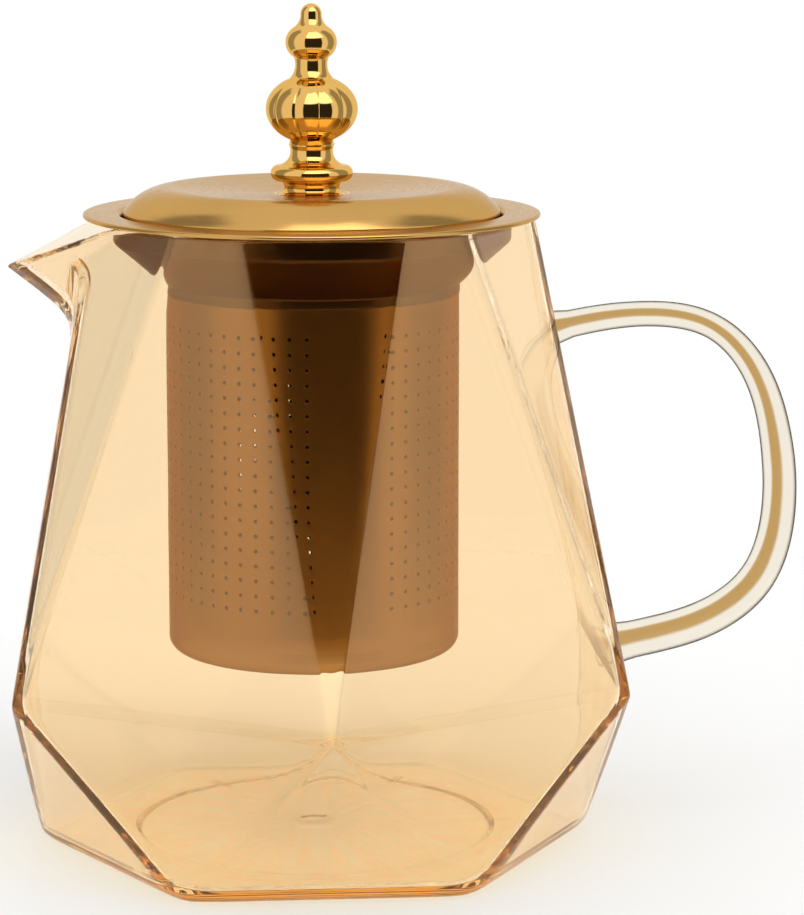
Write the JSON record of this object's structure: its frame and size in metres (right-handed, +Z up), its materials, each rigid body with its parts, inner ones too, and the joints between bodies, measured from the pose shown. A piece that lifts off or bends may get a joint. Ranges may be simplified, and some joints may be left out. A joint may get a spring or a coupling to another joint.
{
  "type": "glass teapot",
  "caption": "Faceted glass teapot with a drawn pouring lip, rod handle, hanging perforated metal infuser and a low domed lid with a turned knob.",
  "frame": {"origin": "centre of the base, on the table", "axes": "+Z up; +X towards the handle; -X towards the pouring lip"},
  "size_m": [0.1612, 0.14, 0.1702],
  "materials": {
    "pot_glass": "clear pale amber",
    "handle_glass": "clear amber, thick",
    "gold_satin": "satin brushed, gold coloured coating on steel",
    "gold_polished": "mirror polished",
    "perforated_sheet": "satin bronze coloured coating",
    "inner_steel": "satin",
    "silicone": "matt, translucent white"
  },
  "bodies": {
    "pot": {"glass_body": "pot_glass", "handle": "handle_glass"},
    "infuser": {"infuser_collar": "gold_satin", "infuser_tube": "perforated_sheet", "infuser_base": "perforated_sheet"},
    "seal": {"lid_seal": "silicone"},
    "lid": {"lid_dome": "gold_satin", "lid_skirt": "inner_steel", "knob": "gold_polished", "knob_screw": "inner_steel", "knob_washer": "inner_steel"}
  },
  "joints": [
    {"name": "infuser_lift", "type": "slide", "parent": "pot", "child": "infuser", "axis": [0, 0, 1], "range_m": [0, 0.11]},
    {"name": "lid_lift", "type": "slide", "parent": "infuser", "child": "seal", "axis": [0, 0, 1], "range_m": [0, 0.06]},
    {"name": "lid_turn", "type": "hinge", "parent": "seal", "child": "lid", "pos_m": [0, 0, 0.125], "axis": [0, 0, 1], "continuous": true}
  ]
}
